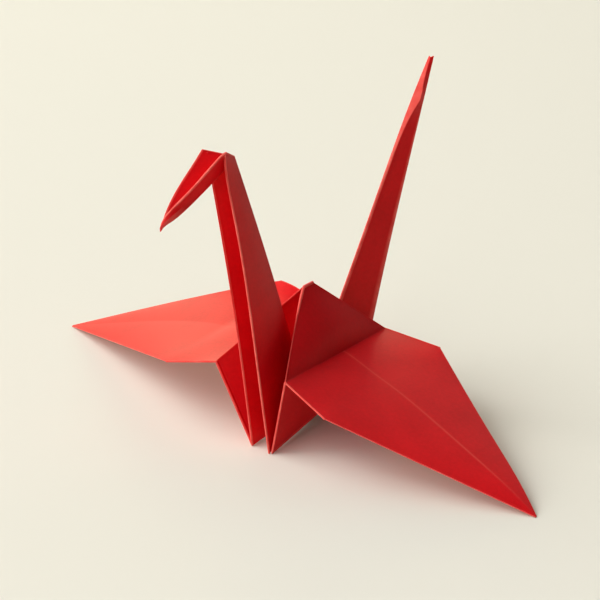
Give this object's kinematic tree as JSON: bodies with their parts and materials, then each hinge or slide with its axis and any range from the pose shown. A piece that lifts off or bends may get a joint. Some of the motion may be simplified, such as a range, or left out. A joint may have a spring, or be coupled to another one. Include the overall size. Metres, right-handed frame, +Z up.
{
  "type": "origami crane",
  "caption": "Red paper crane folded from one square sheet, wings spread down to the floor, neck and tail raised.",
  "frame": {"origin": "on the floor under the top of the hump between the neck and the tail", "axes": "+X towards the head, +Y towards the crane's own left wing (the near wing in the picture), +Z up"},
  "size_m": [0.0788, 0.1293, 0.0664],
  "materials": {
    "red_paper": "matt"
  },
  "bodies": {
    "root": {"folded_sheet": "red_paper"}
  },
  "joints": []
}
